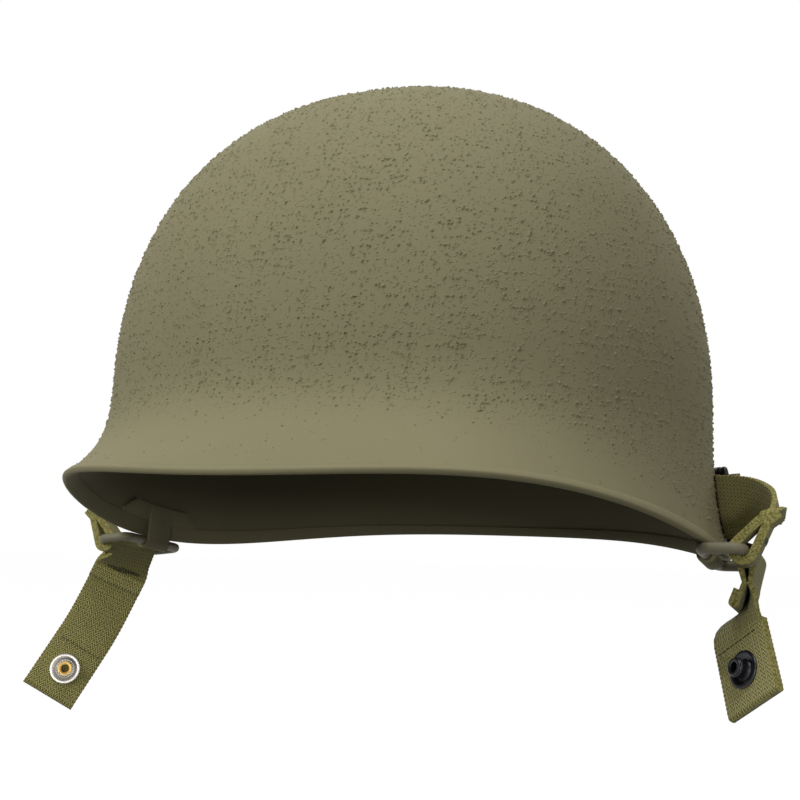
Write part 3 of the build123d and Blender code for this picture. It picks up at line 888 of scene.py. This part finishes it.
def lead_rows(side):
    """The free run from the knee up to the flat webbing behind the ear."""
    half = gather_gauge / 2
    knee = side.gather + side.fold_up * (gather_height + half) - side.fold_out * half
    ear = radians(chin_side_turn)
    way = chin_point(ear, 0, run_height()) - knee
    # Each row's shares of the bulge and the way, its spine and facing, and its width, opening and parting
    keys = (
        (0, (0, 0, 0), side.back, side.fold_out, gather_width, 0.0, 0.0),
        (0.6, (0, 0.12, 0.3), (0, 1, -0.4), side.out, gather_width + 1.5, 0.08, 0.5),
        (1, (0.15, 0.4, 0.7), (0, 0.6, -1), (1, 0.1, 0), 15.5, 0.5, 1.2),
        (0.8, (0.6, 0.75, 0.95), (0, 0.15, -1), (1, 0.1, 0), 20.7, 0.9, 0.6),
    )
    rows = []
    for bulge, (x, y, z), *form in keys:
        place = knee + Vector((way.x * x + chin_bulge * bulge, way.y * y, way.z * z))
        rows.append(fold_row(place, *form))
    rows += [skin_row(turn, run_height()) for turn in (ear, ear + radians(3))]
    keyed = rows[:1] + rows
    made = []
    for four in zip(keyed, keyed[1:], keyed[2:], keyed[3:]):
        for step in range(10):
            made.append([between(*points, step / 10) for points in zip(*four)])
    return made


class Fittings:
    """Axes of the buckle and hook, their bars' places along the strap and the webbing's bend round them."""

    def __init__(self):
        turn = radians(fitting_turn)
        low, high = chin_point(turn, -1, 0), chin_point(turn, 1, 0)
        back = chin_point(turn + turn_step, -1, 0) - low
        self.rise = (high - low).normalized()
        self.back = (back - self.rise * back.dot(self.rise)).normalized()
        self.out = self.back.cross(self.rise)
        self.centre = (low + high) / 2
        gauge = settings("webbing").gauge
        half = gauge / 2
        self.bar_out = chin_skin_gap + gauge + bar_gap + fitting_bar / 2
        self.return_out = self.bar_out + fitting_bar / 2 + bar_gap + half
        self.bend = (self.return_out - run_height()) / 2
        hook_length = self.bend + half + bar_gap + 2 * fitting_bar + 2 * hook_gauge
        length = hook_length + buckle_length - fitting_bar
        self.hook_bar = -length / 2
        self.rear_bar = self.hook_bar + length

    def row(self, along, height):
        return flat_row(self.centre + self.back * along + self.out * height, -self.rise)

    def bend_rows(self, bar, first, last):
        """Rows round a bar, between two angles in degrees."""
        return [self.row(x, z) for x, z in arc((bar, self.bar_out), self.bend, first, last, 12)]

    def turn_beside(self, along):
        return radians(fitting_turn) + along / self.centre.length


def hold(piece, side, node):
    """The strap stays on the shell behind the ear and follows the bale at its gathered end."""
    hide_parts(node)
    seat = chin_point(radians(chin_side_turn), 0, chin_skin_gap)
    knee = side.gather + side.fold_up * gather_height
    start, end = (side.mirrored(point) * MM for point in (seat, knee))
    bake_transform(piece, "helmet", f"{side.name}_bale", start=start, end=end)


class HELMET_OT_chin_strap(bpy.types.Operator):
    """Weave the chin strap's halves, fold their ends round the bales and stow them round the shell"""

    bl_idname = "helmet.chin_strap"
    bl_label = "Chin strap"

    def execute(self, context):
        fit, ear = Fittings(), radians(chin_side_turn)
        run_out, gauge = run_height(), settings("webbing").gauge

        # Short half, on the wearer's left
        rows = gather_rows(left) + lead_rows(left)
        settled = fit.turn_beside(fit.hook_bar - chin_return_length / 2)
        rows += skin_rows(ear, settled, 4, run_out)
        rows += fit.bend_rows(fit.hook_bar, -90, 90)
        rows.append(fit.row(fit.hook_bar - chin_return_length, fit.return_out))
        hold(webbing_piece("chin strap short half", rows, 0.6), left, "chin_strap_short")

        # Long half, from the wearer's right round the back
        rows = right.placed(gather_rows(right) + lead_rows(right))
        rear = fit.turn_beside(fit.rear_bar + chin_return_length)
        rows += skin_rows(2 * pi - ear, rear, 60, run_out)
        rows += fit.bend_rows(fit.rear_bar, 270, 90)
        end = fit.turn_beside(fit.rear_bar + chin_tail_length)
        rows += skin_rows(rear, end, 8, run_out + gauge + chin_tail_gap)
        hold(webbing_piece("chin strap long half", rows, 0.8), right, "chin_strap_long")
        return {"FINISHED"}


class HELMET_OT_buckle(bpy.types.Operator):
    """Finish the buckle, its clamp, the hook and the strap's tip"""

    bl_idname = "helmet.buckle"
    bl_label = "Buckle"

    def execute(self, context):
        for node in ("buckle_frame", "buckle_clamp", "hook_plate", "chin_strap_tip"):
            finished_solid(node, finish("black brass"), 35)
        return {"FINISHED"}


def spun_fastener(side, part, outline, look):
    """A fastener spun from its outline, at its place on the side's tab."""
    place, across, away, along = side.hanging(1)
    centre = place + along * (tab_length - stud_setback)
    bm = bmesh.new()
    ring = [bm.verts.new((radius, 0, height)) for radius, height in outline]
    edges = [bm.edges.new(pair) for pair in zip(ring, ring[1:] + ring[:1])]
    bmesh.ops.spin(bm, geom=ring + edges, axis=(0, 0, 1), angle=2 * pi, steps=56, use_merge=True)
    bmesh.ops.remove_doubles(bm, verts=bm.verts, dist=0.001)
    for vert in bm.verts:
        point = centre + across * vert.co.x + along * vert.co.y - away * vert.co.z
        vert.co = side.mirrored(point) * MM
    bmesh.ops.recalc_face_normals(bm, faces=bm.faces)
    node = f"{side.name}_{part}"
    name = node.replace("_", " ")
    new_piece(name, mesh_from(bm, name, 42), finish(look), f"{side.name}_snap", [node])


class HELMET_OT_snap_fasteners(bpy.types.Operator):
    """Finish the snap studs and their eyelets"""

    bl_idname = "helmet.snap_fasteners"
    bl_label = "Snap fasteners"

    def execute(self, context):
        # Outlines, in millimetres out from the axis and up from the webbing's face
        seat = -2 * settings("webbing").gauge - 0.05
        flange = [(2.2, 0.05), (5.9, 0.05), (6.22, 0.2), (6.3, 0.5), (6.1, 0.78), (5.7, 0.85), (5.0, 0.8)]
        dish = [(4.4, 0.5), (4.1, 0.22), (3.5, 0.18)]
        post = [(3.2, 0.5), (3.06, 1.3), (3.02, 2.1), (3.2, 3.0), (3.2, 3.6), (3.05, 3.85), (2.2, 3.85)]
        lip = [(2.05, 3.9), (2.75, 3.9), (2.95, 4.1), (2.75, 4.35), (2.2, 4.42), (1.6, 4.2)]
        back = [(1.6, seat - 0.5), (4.9, seat - 0.6), (5.25, seat - 0.3), (4.9, seat), (2.05, seat)]
        for side, stud, eyelet in ((left, "black steel", "black steel"), (right, "nickel", "brass")):
            spun_fastener(side, "snap_stud", flange + dish + post, stud)
            spun_fastener(side, "snap_eyelet", back + lip, eyelet)
        return {"FINISHED"}


# Each bar-tack's length and stitches, and the row across each doubled tab
snap_tack, chin_tack, hook_tack, tack_width = (14.5, 26), (6.5, 13), (16.0, 28), 2.3
row_inset, row_pitch, row_stitch, row_count = 3.6, 2.1, 1.6, 9


def sew(node, stitches, side, body):
    """Thread through a list of stitches, each from one point to another."""
    name = node.replace("_", " ")
    bm = bmesh.new()
    for start, end in stitches:
        start, end = (side.mirrored(point) * MM for point in (start, end))
        along = end - start
        turned = along.to_track_quat("X", "Z").to_matrix().to_4x4()
        scale = Matrix.Diagonal((along.length / 2 + 0.15 * MM, 0.24 * MM, 0.2 * MM, 1))
        matrix = Matrix.Translation((start + end) / 2) @ turned @ scale
        bmesh.ops.create_icosphere(bm, subdivisions=2, radius=1, matrix=matrix)
    bmesh.ops.recalc_face_normals(bm, faces=bm.faces)
    new_piece(name, mesh_from(bm, name), finish("thread"), body, [node])


def tack(centre, length_way, width_way, length, count):
    """A bar-tack's zigzag, count stitches over its length."""
    made, half = [], tack_width / 2
    for i in range(count):
        here = centre + length_way * (length * (i / (count - 1) - 0.5))
        there = here + length_way * (length / (count - 1) * 0.5)
        first, second = (here, there) if i % 2 else (there, here)
        made.append((first - width_way * half, second + width_way * half))
    return made


class HELMET_OT_stitching(bpy.types.Operator):
    """Sew the bar-tacks and stitched rows"""

    bl_idname = "helmet.stitching"
    bl_label = "Stitching"

    def execute(self, context):
        gauge = settings("webbing").gauge
        for side in (left, right):
            name = side.name
            # The tack lies just under the knot, on the tail's face
            below = 1.4
            where = side.hanging(below / side.free_length)[0]
            across, away, along = side.tail(below)[1:]
            stitches = tack(where - away * (gauge + 0.06), across, along, *snap_tack)
            sew(f"{name}_snap_bartack", stitches, side, f"{name}_snap")
            place, across, away, along = side.hanging(1)
            level = place + along * row_inset - away * 0.02
            starts = [(i - (row_count - 1) / 2) * row_pitch for i in range(row_count)]
            row = [(level + across * start, level + across * (start + row_stitch)) for start in starts]
            sew(f"{name}_tab_stitching", row, side, f"{name}_snap")
            lean = loop_legs(gather_gauge, (gather_gauge / 2, gather_height))
            leg_out, leg_up = side.leaned(lean - gather_lean)
            where = side.gather + leg_out * (loop_radius + gather_gauge + 0.12) + leg_up * gather_height / 2
            stitches = tack(where, side.back, leg_up, *chin_tack)
            sew(f"{name}_chin_bartack", stitches, side, f"{name}_bale")
        fit = Fittings()
        along, height = fit.hook_bar - chin_return_length + 2.6, fit.return_out + gauge / 2 + 0.1
        where = fit.centre + fit.back * along + fit.out * height
        stitches = tack(where, fit.rise, fit.back, *hook_tack)
        sew("hook_bartack", stitches, left, "helmet")
        return {"FINISHED"}


# Stage

camera_turn, camera_tilt, camera_roll = 23.655, -6.3, 1.562
camera_distance, camera_lens = 462.739, 52.606
camera_target_height, camera_target_right = 59.173, -4.343
# Metres; each lamp's degrees round from the camera and up from level, and its diameter
floor_radius, lamp_distance, lamp_target_height = 6.0, 1.5, 0.07
lamps = {"main": (-58, 21, 1.0), "top": (15, 78, 1.1), "fill": (48, 14, 0.9), "low": (4, 0.5, 0.16)}


def background_rays(tree):
    """One for rays that show the background: to the camera, mirrored or through glass."""
    path = add(tree, "LightPath")
    shown = path.outputs["Is Camera Ray"]
    for other in ("Is Glossy Ray", "Is Transmission Ray"):
        shown = add(tree, "Math", {0: shown, 1: path.outputs[other]}, operation="MAXIMUM").outputs[0]
    return shown


def add_floor(height):
    """A pale floor that the camera sees as white, dimmed a little where the object shades it."""
    bm = bmesh.new()
    level = Matrix.Translation((0, 0, height))
    bmesh.ops.create_circle(bm, cap_ends=True, segments=64, radius=floor_radius, matrix=level)
    made = bpy.data.materials.new("pale floor")
    made.use_nodes = True
    tree = made.node_tree
    tree.nodes.remove(tree.nodes["Principled BSDF"])
    seen = background_rays(tree)
    pale = add(tree, "BsdfDiffuse", {"Color": linear("F4F4F2")})
    glow = add(tree, "Emission", {"Color": grey(1.0), "Strength": 1.07})
    shown = add(tree, "MixShader", {0: 0.92, 1: pale, 2: glow})
    # Little light comes back up off the floor, so the bowl stays in shade
    dim = add(tree, "BsdfDiffuse", {"Color": linear("464644")})
    mixed = add(tree, "MixShader", {0: seen, 1: dim, 2: shown})
    tree.links.new(mixed.outputs[0], tree.nodes["Material Output"].inputs["Surface"])
    new_piece("floor", mesh_from(bm, "floor"), made)


def add_sky(scene, strength):
    world = scene.world = bpy.data.worlds.new("studio")
    world.use_nodes = True
    tree = world.node_tree
    sky = tree.nodes["Background"]
    sky.inputs["Color"].default_value = grey(1.0)
    level = add(tree, "MapRange", {"Value": background_rays(tree), "To Min": strength, "To Max": 1.0})
    tree.links.new(level.outputs[0], sky.inputs["Strength"])


def add_lamp(name, turn, height, size, watts):
    """A round lamp that shines at the helmet's middle."""
    turn, height = radians(camera_turn + turn), radians(height)
    target = Vector((0, 0, lamp_target_height))
    away = Vector((sin(turn) * cos(height), -cos(turn) * cos(height), sin(height)))
    data = bpy.data.lights.new(f"{name} lamp", "AREA")
    data.shape, data.size, data.energy = "DISK", size, watts
    lamp = bpy.data.objects.new(f"{name} lamp", data)
    lamp.location = target + away * lamp_distance
    lamp.rotation_euler = away.to_track_quat("Z", "Y").to_euler()
    bpy.context.scene.collection.objects.link(lamp)


def add_camera(scene):
    turn, tilt, roll = radians(camera_turn), radians(camera_tilt), radians(camera_roll)
    back = Vector((sin(turn) * cos(tilt), -cos(turn) * cos(tilt), sin(tilt)))
    side = Vector((cos(turn), sin(turn), 0))
    up = back.cross(side)
    target = Vector((0, 0, camera_target_height)) + side * camera_target_right
    place = (target + back * camera_distance) * MM
    right_way = side * cos(roll) + up * sin(roll)
    up_way = up * cos(roll) - side * sin(roll)
    data = bpy.data.cameras.new("camera")
    data.lens, data.sensor_width, data.clip_start = camera_lens, 36.0, 0.01
    camera = bpy.data.objects.new("camera", data)
    scene.collection.objects.link(camera)
    camera.matrix_world = Matrix.Translation(place) @ Matrix((right_way, up_way, back)).transposed().to_4x4()
    scene.camera = camera


class HELMET_OT_stage(bpy.types.Operator):
    """Set the floor, lamps and camera"""

    bl_idname = "helmet.stage"
    bl_label = "Stage"

    def execute(self, context):
        values = settings("stage")
        scene = context.scene
        scene.view_settings.view_transform = "Standard"
        add_floor(values.floor_height)
        add_sky(scene, values.sky)
        for name, place in lamps.items():
            add_lamp(name, *place, getattr(values, f"{name}_power"))
        add_camera(scene)
        return {"FINISHED"}


class HELMET_PT_panel(bpy.types.Panel):
    """Lists the helmet's pieces"""

    bl_label = "Steel Pot Helmet"
    bl_idname = "HELMET_PT_panel"
    bl_space_type = "VIEW_3D"
    bl_region_type = "UI"
    bl_category = "Helmet"

    def draw(self, context):
        for group in groups:
            box = self.layout.box()
            values = settings(group)
            for name in values.__annotations__:
                box.prop(values, name)
        for operator in operators:
            self.layout.operator(operator.bl_idname)


groups = {"paint": PaintSettings, "webbing": WebbingSettings, "stage": StageSettings}
operators = (
    HELMET_OT_shell,
    HELMET_OT_grit,
    HELMET_OT_rim_band,
    HELMET_OT_wire_fittings,
    HELMET_OT_snap_straps,
    HELMET_OT_chin_strap,
    HELMET_OT_buckle,
    HELMET_OT_snap_fasteners,
    HELMET_OT_stitching,
    HELMET_OT_stage,
)


def register():
    for name, group in groups.items():
        bpy.utils.register_class(group)
        setattr(bpy.types.Scene, "helmet_" + name, bpy.props.PointerProperty(type=group))
    for made in operators + (HELMET_PT_panel,):
        bpy.utils.register_class(made)


def unregister():
    for made in reversed(operators + (HELMET_PT_panel,)):
        bpy.utils.unregister_class(made)
    for name, group in groups.items():
        delattr(bpy.types.Scene, "helmet_" + name)
        bpy.utils.unregister_class(group)


def main():
    register()
    for operator in operators:
        family, name = operator.bl_idname.split(".")
        getattr(getattr(bpy.ops, family), name)()


if __name__ == "__main__":
    main()
